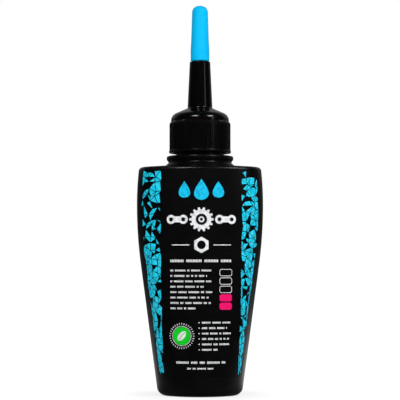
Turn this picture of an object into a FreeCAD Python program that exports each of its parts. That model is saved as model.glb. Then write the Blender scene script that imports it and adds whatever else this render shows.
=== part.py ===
import FreeCAD, Part
import math
import os

# Chain lube bottle: a flat oval blow-moulded bottle, a screw-on spout closure with its sealing washer,
# a pull-off tip cap and a printed film on the front.
# Millimetres. Z is up from the table, X runs across the front, and the printed front faces -Y.

# Bottle body, sizes over the outside
BODY_HEIGHT = 81.7            # table to the edge of the shoulder
FOOT_WIDTH = 30.1             # where the straight taper of the sides would meet the table
FOOT_DEPTH = 24.2
BELLY_HEIGHT = 68.5           # height of the widest section
BELLY_WIDTH = 45.5
BELLY_DEPTH = 26.4
TAPER_BEND_RADIUS = 163.0     # side outline, from the straight taper into the belly
SHOULDER_BEND_RADIUS = 115.0  # side outline, from the belly up to the shoulder
CROWN_RISE = 2.7              # how far the front arc stands out past the radius of the oval's ends
FOOT_FILLET = 2.8
SHOULDER_FILLET = 1.2
SHOULDER_RISE = 0.7           # slope of the shoulder, its height
SHOULDER_RUN = 7.5            # slope of the shoulder, its width
STATION_SPACING = 10.0        # height between the oval sections of the body

# Bottle walls and base
WALL = 1.1
BASE_WALL = 1.3               # thickness of the pushed-up middle of the base
PUSH_UP = 1.2                 # height of the hollow under the base
STANDING_RING = 1.6           # flat ring that the bottle stands on
PUSH_UP_SLOPE = 1.8           # width of the sloping rim of the hollow

# Neck and screw finish
STUB_RADIUS = 11.25           # waist between the shoulder and the bead
STUB_FLARE = 1.1              # how far the stub spreads where it meets the shoulder
STUB_FILLET = 0.4             # curve of the waist
STUB_HEIGHT = 1.0             # top of the shoulder to the waist
BEAD_RADIUS = 12.0
BEAD_HEIGHT = 2.3             # waist to the top of the bead
BEAD_FLANK = 1.1              # height of the sloping flank of the bead, from the waist
BEAD_FILLET = 0.5
FINISH_RADIUS = 8.6           # root of the screw finish
FINISH_HEIGHT = 11.6          # top of the bead to the mouth
MOUTH_FILLET = 0.4
NECK_WALL = 1.5
NECK_FUNNEL_HEIGHT = 4.2      # cone from the body into the neck
NECK_FUNNEL_FLARE = 2.3       # how much wider that cone is at its foot

# Sealing washer
WASHER_THICKNESS = 1.0
WASHER_LAP = 0.5              # how far the washer reaches past the mouth, inside and outside
WASHER_CLEARANCE = 0.4        # round the washer, in its recess

# Spout closure
SKIRT_DEPTH = 11.4            # inside, from the seat of the washer down to the rim
SOCKET_CLEARANCE = 1.15       # finish root to socket wall, room for both threads
SOCKET_CHAMFER = 0.4
SKIRT_WALL = 0.95             # socket wall to the root of the grip ribs
RIB_COUNT = 90
RIB_HEIGHT = 0.32
RIB_CREST_SHARE = 0.35        # share of the rib pitch that is crest, and the same again is root
RIB_BEVEL = 0.9               # height of the bevel at the top of the ribs
HEM_HEIGHT = 0.9              # plain band under the ribs
HEM_PROUD = 0.14              # how far the band stands out from the rib crests
DOME_SETBACK = 0.25           # root of the ribs in to the wall of the dome
DOME_HEIGHT = 4.85            # seat of the washer to the foot of the spout
DOME_SLOPE = math.radians(24.0)
DOME_FILLET = 2.8
DOME_WALL = 1.3
SPOUT_BASE_RADIUS = 4.48
SPOUT_TOP_RADIUS = 3.7
SPOUT_HEIGHT = 16.85
SPOUT_ROOT_FILLET = 0.5
SPOUT_WALL = 1.4              # at the foot of the spout
LEDGE_FILLET = 0.3
NOZZLE_BASE_RADIUS = 2.35
NOZZLE_TIP_RADIUS = 1.75
NOZZLE_HEIGHT = 16.2
NOZZLE_FILLET = 0.3
NOZZLE_WALL = 0.9             # at the foot of the nozzle
ORIFICE_RADIUS = 0.8

# Tip cap
TIP_FIT = 0.05                # radial clearance on the nozzle
TIP_SEAT_GAP = 0.15           # rim of the tip cap above the ledge
TIP_RIM_WALL = 0.98
TIP_WALL = 1.08               # where the band has faded into the taper
TIP_END_WALL = 0.98
TIP_BAND_HEIGHT = 4.2         # straight band above the rim
TIP_BAND_FADE = 3.0           # height over which the band fades into the taper
TIP_HEADROOM = 0.4            # inside, above the end of the nozzle
TIP_CROWN = 3.75              # thickness of the domed end
TIP_CROWN_FILLET = 1.9
TIP_RIM_FILLET = 0.3

# Printed film on the front
LABEL_THICKNESS = 0.1
LABEL_BOND = 0.04             # adhesive between the film and the bottle
LABEL_SIDE_MARGIN = 1.2       # outline of the bottle to the edge of the film, seen from the front
LABEL_FOOT_MARGIN = 7.0       # table up to the film
LABEL_TOP_MARGIN = 1.4        # edge of the shoulder down to the film
LABEL_CORNER = 2.0

# Heights and radii that follow from the sizes above
SHOULDER_TOP = BODY_HEIGHT + SHOULDER_RISE
WAIST = SHOULDER_TOP + STUB_HEIGHT
BEAD_TOP = WAIST + BEAD_HEIGHT
MOUTH = BEAD_TOP + FINISH_HEIGHT
NECK_BORE = FINISH_RADIUS - NECK_WALL
CAVITY_TOP = BODY_HEIGHT - WALL
WASHER_OUTER = FINISH_RADIUS + WASHER_LAP
WASHER_INNER = NECK_BORE - WASHER_LAP
SEAT = MOUTH + WASHER_THICKNESS
SKIRT_RIM = SEAT - SKIRT_DEPTH
HEM_TOP = SKIRT_RIM + HEM_HEIGHT
SOCKET_RADIUS = FINISH_RADIUS + SOCKET_CLEARANCE
RIB_ROOT = SOCKET_RADIUS + SKIRT_WALL
RIB_CREST = RIB_ROOT + RIB_HEIGHT
DOME_RADIUS = RIB_ROOT - DOME_SETBACK
SPOUT_FOOT = SEAT + DOME_HEIGHT
LEDGE = SPOUT_FOOT + SPOUT_HEIGHT
NOZZLE_TOP = LEDGE + NOZZLE_HEIGHT
NOZZLE_TAPER = (NOZZLE_BASE_RADIUS - NOZZLE_TIP_RADIUS) / NOZZLE_HEIGHT
TIP_RIM = LEDGE + TIP_SEAT_GAP
LABEL_TOP = BODY_HEIGHT - LABEL_TOP_MARGIN

# Side outline of the body: where its straight taper runs into the bend of the belly
TAPER_BEND_CENTRE = BELLY_WIDTH / 2 - TAPER_BEND_RADIUS
FOOT_TO_CENTRE = math.hypot(FOOT_WIDTH / 2 - TAPER_BEND_CENTRE, BELLY_HEIGHT)
FOOT_BEARING = math.atan2(BELLY_HEIGHT, FOOT_WIDTH / 2 - TAPER_BEND_CENTRE)
TAPER_ANGLE = FOOT_BEARING - math.acos(TAPER_BEND_RADIUS / FOOT_TO_CENTRE)
TAPER_TOP = BELLY_HEIGHT - TAPER_BEND_RADIUS * math.sin(TAPER_ANGLE)

UP = FreeCAD.Vector(0, 0, 1)
ORIGIN = FreeCAD.Vector(0, 0, 0)
FLAT = 1e-4                   # edges closer to a level or a line than this lie on it


def point(x, y, z):
    return FreeCAD.Vector(x, y, z)


def turned(corners):
    """A solid of revolution from the corners of its half section: radius, height and, if any, a fillet."""
    places = [point(corner[0], 0, corner[1]) for corner in corners]
    edges = []
    runs = []
    for index, corner in enumerate(corners):
        here = places[index]
        fillet = corner[2] if len(corner) > 2 else 0.0
        if not fillet:
            runs.append((here, here))
            continue
        back = (places[index - 1] - here).normalize()
        ahead = (places[(index + 1) % len(places)] - here).normalize()
        half = back.getAngle(ahead) / 2
        start = here + back * (fillet / math.tan(half))
        end = here + ahead * (fillet / math.tan(half))
        inward = (back + ahead).normalize()
        middle = here + inward * (fillet / math.sin(half) - fillet)
        edges.append(Part.Arc(start, middle, end).toShape())
        runs.append((start, end))
    for index, run in enumerate(runs):
        edges.append(Part.LineSegment(run[1], runs[(index + 1) % len(runs)][0]).toShape())
    outline = Part.Wire(Part.__sortEdges__(edges))
    return Part.Face(outline).revolve(ORIGIN, UP, 360)


def half_width(height):
    """Half the body's width: a straight taper, one arc into the belly and one on to the shoulder."""
    if height < TAPER_TOP:
        return FOOT_WIDTH / 2 + height * math.tan(TAPER_ANGLE)
    bend = TAPER_BEND_RADIUS if height < BELLY_HEIGHT else SHOULDER_BEND_RADIUS
    return BELLY_WIDTH / 2 - bend + math.sqrt(bend ** 2 - (height - BELLY_HEIGHT) ** 2)


def half_depth(height):
    """Half the body's depth, which grows evenly from the foot to the belly and then stays."""
    share = min(height / BELLY_HEIGHT, 1.0)
    return (FOOT_DEPTH + (BELLY_DEPTH - FOOT_DEPTH) * share) / 2


def oval(height, grow=0.0, lift=0.0):
    """Plan section of the body as four tangent arcs, offset outwards by grow and raised by lift."""
    wide = half_width(height) + grow
    deep = half_depth(height) + grow
    end = deep - CROWN_RISE
    centre = wide - end
    crown = (centre ** 2 + deep ** 2 - end ** 2) / (2 * CROWN_RISE)
    join_x = centre + end * centre / (crown - end)
    join_y = end * (crown - deep) / (crown - end)
    level = height + lift
    joins = [(join_x, -join_y), (join_x, join_y), (-join_x, join_y), (-join_x, -join_y)]
    middles = [(wide, 0), (0, deep), (-wide, 0), (0, -deep)]
    edges = []
    for side in range(4):
        start = point(*joins[side], level)
        end_point = point(*joins[(side + 1) % 4], level)
        edges.append(Part.Arc(start, point(*middles[side], level), end_point).toShape())
    return Part.Wire(edges)


def stations(bottom, top):
    """Heights of evenly spaced sections from bottom to top."""
    spans = max(2, math.ceil((top - bottom) / STATION_SPACING))
    return [bottom + (top - bottom) * step / spans for step in range(spans + 1)]


def body_form(bottom, top, grow=0.0, ruled=False):
    """The oval body between two heights, offset outwards by grow, smooth or ruled from section to section."""
    sections = [oval(height, grow) for height in stations(bottom, top)]
    return Part.makeLoft(sections, True, ruled)


def edges_at(shape, height):
    """Edges of a shape that lie flat at one height."""
    return [
        edge for edge in shape.Edges
        if abs(edge.BoundBox.ZMin - height) < FLAT and abs(edge.BoundBox.ZMax - height) < FLAT
    ]


def bottle():
    """Hollow body with a sloping shoulder, a neck with its bead and screw finish, and a pushed-up base."""
    body = body_form(0, BODY_HEIGHT)
    body = body.makeFillet(FOOT_FILLET, edges_at(body, 0))
    body = body.makeFillet(SHOULDER_FILLET, edges_at(body, BODY_HEIGHT))
    slope_edge = -SHOULDER_FILLET - SHOULDER_RISE / 2
    slope = [oval(BODY_HEIGHT, slope_edge), oval(BODY_HEIGHT, slope_edge - SHOULDER_RUN, SHOULDER_RISE)]
    outside = body.fuse([Part.makeLoft(slope, True, True), neck()])
    cavity = body_form(PUSH_UP + BASE_WALL, CAVITY_TOP, -WALL, ruled=True)
    ring_edge = -FOOT_FILLET - STANDING_RING
    push_up = [oval(0, ring_edge), oval(0, ring_edge - PUSH_UP_SLOPE, PUSH_UP)]
    under = Part.makeLoft(push_up, True, True)
    return outside.cut([cavity, neck_bore(), under]).removeSplitter()


def neck():
    """Flared stub, rounded bead and the root of the screw finish, solid to the axis."""
    return turned([
        (0, CAVITY_TOP),
        (STUB_RADIUS + STUB_FLARE, CAVITY_TOP),
        (STUB_RADIUS + STUB_FLARE, SHOULDER_TOP),
        (STUB_RADIUS, WAIST, STUB_FILLET),
        (BEAD_RADIUS, WAIST + BEAD_FLANK, BEAD_FILLET),
        (BEAD_RADIUS, BEAD_TOP, BEAD_FILLET),
        (FINISH_RADIUS, BEAD_TOP),
        (FINISH_RADIUS, MOUTH, MOUTH_FILLET),
        (0, MOUTH),
    ])


def neck_bore():
    """Inside of the neck: a cone out of the body, then a straight bore to the mouth."""
    return turned([
        (0, CAVITY_TOP - WALL),
        (NECK_BORE + NECK_FUNNEL_FLARE, CAVITY_TOP - WALL),
        (NECK_BORE + NECK_FUNNEL_FLARE, CAVITY_TOP),
        (NECK_BORE, CAVITY_TOP + NECK_FUNNEL_HEIGHT),
        (NECK_BORE, MOUTH),
        (0, MOUTH),
    ])


def sealing_washer():
    """Flat ring on the mouth, reaching a little past it on both sides."""
    return turned([
        (WASHER_INNER, MOUTH),
        (WASHER_OUTER, MOUTH),
        (WASHER_OUTER, SEAT),
        (WASHER_INNER, SEAT),
    ])


def grip_ribs():
    """Ring of straight grip ribs, bevelled at the top, on the plain hem of the skirt."""
    pitch = 2 * math.pi / RIB_COUNT
    crest_half = pitch * RIB_CREST_SHARE / 2
    foot_half = pitch / 2 - crest_half
    corners = []
    for rib in range(RIB_COUNT):
        for radius, offset in (
            (RIB_ROOT, -foot_half),
            (RIB_CREST, -crest_half),
            (RIB_CREST, crest_half),
            (RIB_ROOT, foot_half),
        ):
            angle = rib * pitch + offset
            corners.append(point(radius * math.cos(angle), radius * math.sin(angle), HEM_TOP))
    star = Part.Face(Part.makePolygon(corners + corners[:1])).extrude(point(0, 0, SEAT - HEM_TOP))
    envelope = turned([
        (0, HEM_TOP),
        (RIB_CREST, HEM_TOP),
        (RIB_CREST, SEAT - RIB_BEVEL),
        (DOME_RADIUS, SEAT),
        (0, SEAT),
    ])
    return star.common(envelope)


def spout_cap():
    """Screw closure: ribbed skirt, domed top, tapering spout and the nozzle that the tip cap covers."""
    hem = RIB_CREST + HEM_PROUD
    dome_edge = SPOUT_FOOT - (DOME_RADIUS - SPOUT_BASE_RADIUS) * math.tan(DOME_SLOPE)
    shell = turned([
        (0, SKIRT_RIM),
        (hem, SKIRT_RIM),
        (hem, HEM_TOP),
        (DOME_RADIUS, HEM_TOP),
        (DOME_RADIUS, dome_edge, DOME_FILLET),
        (SPOUT_BASE_RADIUS, SPOUT_FOOT, SPOUT_ROOT_FILLET),
        (SPOUT_TOP_RADIUS, LEDGE, LEDGE_FILLET),
        (NOZZLE_BASE_RADIUS, LEDGE),
        (NOZZLE_TIP_RADIUS, NOZZLE_TOP, NOZZLE_FILLET),
        (0, NOZZLE_TOP),
    ])
    return shell.fuse(grip_ribs()).cut([socket(), spout_bore()]).removeSplitter()


def socket():
    """Room for the screw finish, with a bevelled mouth, and above it the recess of the washer."""
    recess = WASHER_OUTER + WASHER_CLEARANCE
    return turned([
        (0, SKIRT_RIM),
        (SOCKET_RADIUS + SOCKET_CHAMFER, SKIRT_RIM),
        (SOCKET_RADIUS, SKIRT_RIM + SOCKET_CHAMFER),
        (SOCKET_RADIUS, MOUTH - SOCKET_CHAMFER),
        (recess, MOUTH),
        (recess, SEAT),
        (0, SEAT),
    ])


def spout_bore():
    """Way for the oil: a funnel under the dome, then a bore that narrows to the orifice."""
    return turned([
        (0, SEAT),
        (WASHER_INNER, SEAT),
        (SPOUT_BASE_RADIUS - SPOUT_WALL, SPOUT_FOOT - DOME_WALL / math.cos(DOME_SLOPE)),
        (NOZZLE_BASE_RADIUS - NOZZLE_WALL, LEDGE),
        (ORIFICE_RADIUS, NOZZLE_TOP),
        (0, NOZZLE_TOP),
    ])


def tip_cap():
    """Hollow cap over the nozzle: a straight band at the rim that fades into a taper, and a domed end."""
    bore_base = NOZZLE_BASE_RADIUS + TIP_FIT
    bore_top = NOZZLE_TIP_RADIUS + TIP_FIT
    band_top = TIP_RIM + TIP_BAND_HEIGHT
    fade_top = band_top + TIP_BAND_FADE
    fade_bore = bore_base - (fade_top - LEDGE) * NOZZLE_TAPER
    end = NOZZLE_TOP + TIP_HEADROOM
    outside = turned([
        (0, TIP_RIM),
        (bore_base + TIP_RIM_WALL, TIP_RIM, TIP_RIM_FILLET),
        (bore_base + TIP_RIM_WALL, band_top),
        (fade_bore + TIP_WALL, fade_top),
        (bore_top + TIP_END_WALL, end + TIP_CROWN, TIP_CROWN_FILLET),
        (0, end + TIP_CROWN),
    ])
    inside = turned([
        (0, TIP_RIM),
        (bore_base, TIP_RIM),
        (bore_top, NOZZLE_TOP),
        (bore_top, end),
        (0, end),
    ])
    return outside.cut(inside)


def front_label():
    """Film over the front of the body, cut to the body's outline less a margin, with rounded corners."""
    right = [
        point(half_width(height) - LABEL_SIDE_MARGIN, 0, height)
        for height in stations(LABEL_FOOT_MARGIN, LABEL_TOP)
    ]
    left = [point(-place.x, 0, place.z) for place in reversed(right)]
    sides = []
    for run in (right, left):
        curve = Part.BSplineCurve()
        curve.interpolate(run)
        sides.append(curve.toShape())
    top = Part.LineSegment(right[-1], left[0]).toShape()
    foot = Part.LineSegment(left[-1], right[0]).toShape()
    outline = Part.Wire([sides[0], top, sides[1], foot])
    cutter = Part.Face(outline).extrude(point(0, -BELLY_DEPTH, 0))
    corners = [
        edge for edge in cutter.Edges
        if edge.BoundBox.XLength < FLAT and edge.BoundBox.ZLength < FLAT
    ]
    cutter = cutter.makeFillet(LABEL_CORNER, corners)
    film = body_form(0, BODY_HEIGHT, LABEL_BOND + LABEL_THICKNESS).common(cutter)
    return film.cut(body_form(0, BODY_HEIGHT, LABEL_BOND))


def main():
    os.makedirs("parts", exist_ok=True)
    for build in (bottle, spout_cap, sealing_washer, tip_cap, front_label):
        build().exportStep("parts/" + build.__name__ + ".step")


main()
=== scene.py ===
"""Chain lube bottle: an oval bottle, a ribbed spout closure, a tip cap and a printed front film.

Metres throughout, in the frame of the solids: Z is up from the table and the printed front faces -Y.
"""
import logging
import math
import random
from dataclasses import dataclass
from enum import Enum
from typing import Any, Callable, Optional, Protocol, Sequence, Union

import bmesh
import bpy
from mathutils import Color, Matrix, Vector


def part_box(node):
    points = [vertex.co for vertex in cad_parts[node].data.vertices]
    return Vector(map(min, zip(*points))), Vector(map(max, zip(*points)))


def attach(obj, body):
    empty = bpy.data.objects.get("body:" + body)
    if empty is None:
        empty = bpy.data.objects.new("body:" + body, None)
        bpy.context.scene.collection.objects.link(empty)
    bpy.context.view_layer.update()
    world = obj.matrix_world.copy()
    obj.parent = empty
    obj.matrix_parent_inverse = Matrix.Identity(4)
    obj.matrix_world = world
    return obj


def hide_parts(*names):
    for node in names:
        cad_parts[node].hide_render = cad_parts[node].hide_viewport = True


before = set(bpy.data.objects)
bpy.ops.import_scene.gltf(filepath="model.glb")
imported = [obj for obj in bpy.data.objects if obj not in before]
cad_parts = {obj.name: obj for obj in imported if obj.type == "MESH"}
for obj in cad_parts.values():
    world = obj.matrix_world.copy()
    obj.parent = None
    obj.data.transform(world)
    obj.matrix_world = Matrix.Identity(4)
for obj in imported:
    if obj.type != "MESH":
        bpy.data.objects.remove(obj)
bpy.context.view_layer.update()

LOG = logging.getLogger("chain_lube_bottle")
MM = 0.001
CRISP_ANGLE = math.radians(32.0)
WELD = 1e-4 * MM
FLAT_WELD = 1e-3 * MM
FULL_TINT = 255
NOISE_MEAN = 0.5
SIDE_BLEND = 0.05
GLOSS_DARK = 0.012
FILM_MARGIN = 1.2 * MM

Mesh = bmesh.types.BMesh
Limits = tuple[float, float]


class Body(Enum):
    """Bodies of the frame that pieces ride on."""

    BOTTLE = "bottle"
    CLOSURE = "closure"
    TIP = "tip"


class Tint(Enum):
    """Colours of the plastics and inks, as they look in even light, in parts of the full tint."""

    BOTTLE_BLACK = (3, 3, 4)
    BOTTLE_BLOOM = (10, 10, 11)
    CLOSURE_BLACK = (2, 2, 3)
    CLOSURE_BLOOM = (15, 15, 16)
    TIP_BLUE = (0, 200, 254)
    TIP_DEEP = (0, 182, 248)
    FOAM = (226, 226, 220)
    # painted shade: the darker foam tint, laid in the creases between the washer's cells
    FOAM_CREASE_SHADE = (196, 196, 190)
    FILM_BLACK = (3, 3, 4)
    FILM_BLOOM = (11, 10, 12)
    INK_WHITE = (238, 240, 241)
    INK_GREY = (196, 199, 201)
    INK_CYAN = (2, 200, 242)
    INK_CYAN_DEEP = (6, 150, 190)
    STRIP_CYAN = (10, 222, 252)
    STRIP_DEEP = (8, 176, 212)
    STRIP_PALE = (196, 240, 250)
    INK_PINK = (246, 4, 110)
    INK_PINK_DEEP = (224, 2, 96)
    INK_GREEN = (4, 212, 36)
    INK_GREEN_DEEP = (4, 186, 28)
    PAPER_WHITE = (250, 250, 250)

    def linear(self) -> tuple[float, ...]:
        """Return the colour as linear light with full alpha."""
        return (*Color([part / FULL_TINT for part in self.value]).from_srgb_to_scene_linear(), 1.0)


Level = Union["Signal", float]


class Signal:
    """A shader socket whose arithmetic adds Math nodes to its sheet."""

    def __init__(self, sheet: "Sheet", socket: Optional[bpy.types.NodeSocket]) -> None:
        """Keep the sheet and the socket."""
        self.sheet = sheet
        self.socket = socket

    def math(self, operation: str, *values: Level) -> "Signal":
        """Return a Math node of the given operation on the given values."""
        return self.sheet.node("ShaderNodeMath", {"operation": operation}, dict(enumerate(values)))

    def __add__(self, other: Level) -> "Signal":
        """Return the sum."""
        return self.math("ADD", self, other)

    __radd__ = __add__

    def __mul__(self, other: Level) -> "Signal":
        """Return the product."""
        return self.math("MULTIPLY", self, other)

    __rmul__ = __mul__

    def __sub__(self, other: Level) -> "Signal":
        """Return the difference."""
        return self.math("SUBTRACT", self, other)

    def __rsub__(self, other: Level) -> "Signal":
        """Return the difference the other way round."""
        return self.math("SUBTRACT", other, self)

    def __abs__(self) -> "Signal":
        """Return the size without its sign."""
        return self.math("ABSOLUTE", self)

    def step(self, low: float, high: float) -> "Signal":
        """Return a smooth rise from 0 at the low level to 1 at the high one."""
        inputs = {"Value": self, "From Min": low, "From Max": high}
        return self.sheet.node("ShaderNodeMapRange", {"interpolation_type": "SMOOTHSTEP"}, inputs)

    def swing(self, reach: float) -> "Signal":
        """Return a noise as a change of up to half the reach either way."""
        return (self - NOISE_MEAN) * reach


class Sheet:
    """The node tree of a material or of the world, and the place that it is read at."""

    def __init__(self, owner: Union[bpy.types.Material, bpy.types.World], place: str = "Object") -> None:
        """Start with the place alone.

        Args:
            owner: Material or world that the tree belongs to.
            place: Kind of place, in metres on the object unless another is named.
        """
        owner.use_nodes = True
        self.tree = owner.node_tree
        self.tree.nodes.clear()
        self.place = self.node("ShaderNodeTexCoord", out=place)

    def node(self, kind: str, settings: Optional[dict[str, Any]] = None,
             inputs: Optional[dict[Union[str, int], Any]] = None, out: Union[str, int] = 0) -> Signal:
        """Add a node.

        Args:
            kind: Type of the node.
            settings: Properties, which are set before the sockets.
            inputs: Values, tints or signals, by the name or number of the socket.
            out: Name or number of the socket to return.

        Returns:
            The output as a signal, or an empty signal where the node has no output.
        """
        node = self.tree.nodes.new(kind)
        for name, value in (settings or {}).items():
            setattr(node, name, value)
        for key, value in (inputs or {}).items():
            if isinstance(value, Signal):
                self.tree.links.new(value.socket, node.inputs[key])
            else:
                node.inputs[key].default_value = value.linear() if isinstance(value, Tint) else value
        return Signal(self, node.outputs[out] if len(node.outputs) else None)

    def axis(self, name: str) -> Signal:
        """Return one axis of the place."""
        return self.node("ShaderNodeSeparateXYZ", None, {0: self.place}, name)

    def ray(self, kind: str) -> Signal:
        """Return 1 for one kind of ray and 0 for the others."""
        return self.node("ShaderNodeLightPath", out=kind)

    def noise(self, size: float, layers: float = 2.0, squeeze: float = 1.0) -> Signal:
        """Return soft noise with blotches of one size, drawn out upright where the heights are squeezed."""
        place = self.node("ShaderNodeMapping", None, {"Vector": self.place, "Scale": (1.0, 1.0, squeeze)})
        return self.node("ShaderNodeTexNoise", None, {"Vector": place, "Scale": 1 / size, "Detail": layers})

    def mix(self, share: Level, first: Any, second: Any) -> Signal:
        """Return a colour between two colours, by number because the node's sockets share their names."""
        return self.node("ShaderNodeMix", {"data_type": "RGBA"}, {0: share, 6: first, 7: second}, 2)

    def blend(self, share: Signal, first: Signal, second: Signal) -> Signal:
        """Return a shader between two shaders."""
        return self.node("ShaderNodeMixShader", None, {0: share, 1: first, 2: second})

    def by_side(self, left: Level, right: Level) -> Signal:
        """Return a level that changes from the left to the right."""
        return left + self.axis("X").step(-SIDE_BLEND, SIDE_BLEND) * (right - left)


@dataclass(frozen=True)
class Finish:
    """A surface finish, which dresses a piece in a material of its own."""

    name: str

    def shade(self, sheet: Sheet) -> Signal:
        """Return the shader of this finish."""
        raise NotImplementedError

    def material(self) -> bpy.types.Material:
        """Make a material.

        Returns:
            A new material of this finish.
        """
        made = bpy.data.materials.new(self.name)
        sheet = Sheet(made)
        sheet.node("ShaderNodeOutputMaterial", None, {"Surface": self.shade(sheet)})
        return made


@dataclass(frozen=True)
class Coating(Finish):
    """A finish with a roughness, a full and a thin tint, and a level of gloss."""

    roughness: float
    full: Tint
    thin: Tint
    gloss: float = 0.5

    def tinted(self, sheet: Sheet, share: Level) -> Signal:
        """Return a colour between the full and the thin tint."""
        return sheet.mix(share, self.full, self.thin)

    def coat(self, sheet: Sheet, colour: Signal, matt: Level, relief: Signal, depth: float) -> Signal:
        """Coat the surface.

        Args:
            sheet: Sheet of the material.
            colour: Colour of the surface.
            matt: Change of the roughness.
            relief: Height of the surface, where 1 stands for the depth.
            depth: Real height of the relief.

        Returns:
            The shader.
        """
        return sheet.node("ShaderNodeBsdfPrincipled", None, {
            "Base Color": colour,
            "Roughness": self.roughness + matt,
            "Specular IOR Level": self.gloss,
            "Normal": sheet.node("ShaderNodeBump", None, {"Height": relief, "Distance": depth}),
        })


@dataclass(frozen=True)
class BlownPlastic(Coating):
    """Black blow-moulded polyethylene: satin, finely pebbled, with the parting line of the mould."""

    pebble_size: float = 0.35 * MM
    pebble_depth: float = 0.0015 * MM
    pebble_layers: float = 3.0
    pebble_matt: float = 0.06
    drift_size: float = 18.0 * MM
    drift_squeeze: float = 0.3
    drift_matt: float = 0.16
    seam_half_width: float = 0.16 * MM
    seam_depth: float = 0.05 * MM

    def shade(self, sheet: Sheet) -> Signal:
        """Shade the drift of the tone, the pebbles and the seam.

        Args:
            sheet: Sheet of the material.

        Returns:
            The shader.
        """
        pebbles = sheet.noise(self.pebble_size, self.pebble_layers)
        drift = sheet.noise(self.drift_size, squeeze=self.drift_squeeze)
        seam = 1 - abs(sheet.axis("Y")).step(0.0, self.seam_half_width)
        matt = drift.swing(self.drift_matt) + pebbles.swing(self.pebble_matt)
        relief = pebbles * (self.pebble_depth / self.seam_depth) + seam
        return self.coat(sheet, self.tinted(sheet, drift), matt, relief, self.seam_depth)


@dataclass(frozen=True)
class ClosurePlastic(Coating):
    """Black polypropylene: a dull ribbed skirt under a polished dome and spout."""

    skirt_roughness: float = 0.2
    polish_rise: Limits = (97.9 * MM, 98.6 * MM)
    polish_depth: float = 0.7
    draw_size: float = 1.4 * MM
    draw_layers: float = 3.0
    draw_squeeze: float = 0.12
    draw_matt: float = 0.08
    draw_depth: float = 0.0012 * MM

    def shade(self, sheet: Sheet) -> Signal:
        """Shade the draw marks and the polish, which sets in above the skirt.

        Args:
            sheet: Sheet of the material.

        Returns:
            The shader.
        """
        polish = sheet.axis("Z").step(*self.polish_rise)
        drawn = sheet.noise(self.draw_size, self.draw_layers, self.draw_squeeze)
        colour = self.tinted(sheet, drawn * (1 - polish * self.polish_depth))
        matt = (1 - polish) * (self.skirt_roughness - self.roughness) + drawn.swing(self.draw_matt)
        return self.coat(sheet, colour, matt, drawn, self.draw_depth)


@dataclass(frozen=True)
class TipPlastic(Coating):
    """Blue soft polyethylene: waxy, faintly drawn lengthwise."""

    streak_size: float = 1.6 * MM
    streak_layers: float = 3.0
    streak_squeeze: float = 0.15
    streak_matt: float = 0.12
    streak_depth: float = 0.006 * MM

    def shade(self, sheet: Sheet) -> Signal:
        """Shade the streaks.

        Args:
            sheet: Sheet of the material.

        Returns:
            The shader.
        """
        streaks = sheet.noise(self.streak_size, self.streak_layers, self.streak_squeeze)
        matt = streaks.swing(self.streak_matt)
        return self.coat(sheet, self.tinted(sheet, streaks), matt, streaks, self.streak_depth)


@dataclass(frozen=True)
class CellFoam(Coating):
    """Pale closed-cell foam of the sealing washer."""

    cell_size: float = 0.22 * MM
    cell_depth: float = 0.03 * MM

    def shade(self, sheet: Sheet) -> Signal:
        """Return the shader with its cells, whose creases are painted darker as shade."""
        cells = sheet.node("ShaderNodeTexVoronoi", None, {"Vector": sheet.place, "Scale": 1 / self.cell_size})
        # painted shade: the colour darkens towards the cells' edges, where the relief dips
        return self.coat(sheet, self.tinted(sheet, cells), 0.0, 1 - cells, self.cell_depth)


@dataclass(frozen=True)
class PrintedFilm(Coating):
    """Black satin film, with a faint mottle."""

    mottle_size: float = 6.0 * MM
    mottle_layers: float = 3.0
    mottle_matt: float = 0.1
    grain_size: float = 0.18 * MM
    grain_depth: float = 0.002 * MM

    def shade(self, sheet: Sheet) -> Signal:
        """Shade the mottle and the grain.

        Args:
            sheet: Sheet of the material.

        Returns:
            The shader.
        """
        mottle = sheet.noise(self.mottle_size, self.mottle_layers)
        matt = mottle.swing(self.mottle_matt)
        grain = sheet.noise(self.grain_size)
        return self.coat(sheet, self.tinted(sheet, mottle), matt, grain, self.grain_depth)


@dataclass(frozen=True)
class Ink(Coating):
    """Opaque ink on the film, a little uneven from the press."""

    gloss: float = 0.15
    mottle_size: float = 1.2 * MM
    mottle_layers: float = 4.0
    mottle_rise: Limits = (0.35, 0.8)
    mottle_matt: float = 0.1
    grain_depth: float = 0.002 * MM

    def colour(self, sheet: Sheet, mottle: Signal) -> Signal:
        """Return the colour of the ink."""
        return self.tinted(sheet, mottle)

    def shade(self, sheet: Sheet) -> Signal:
        """Shade the mottle.

        Args:
            sheet: Sheet of the material.

        Returns:
            The shader.
        """
        mottle = sheet.noise(self.mottle_size, self.mottle_layers).step(*self.mottle_rise)
        matt = mottle * self.mottle_matt
        return self.coat(sheet, self.colour(sheet, mottle), matt, mottle, self.grain_depth)


@dataclass(frozen=True)
class StripInk(Ink):
    """Ink rolled on in patches, with a few pale flecks."""

    gloss: float = 0.3
    mottle_layers: float = 5.0
    mottle_rise: Limits = (0.42, 0.6)
    patch_share: float = 0.6
    fleck: Tint = Tint.STRIP_PALE
    fleck_size: float = 0.7 * MM
    fleck_rise: Limits = (0.66, 0.72)

    def colour(self, sheet: Sheet, mottle: Signal) -> Signal:
        """Return the colour of the ink, with its patches and flecks."""
        flecks = sheet.noise(self.fleck_size).step(*self.fleck_rise)
        return sheet.mix(flecks, self.tinted(sheet, mottle * self.patch_share), self.fleck)


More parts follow.
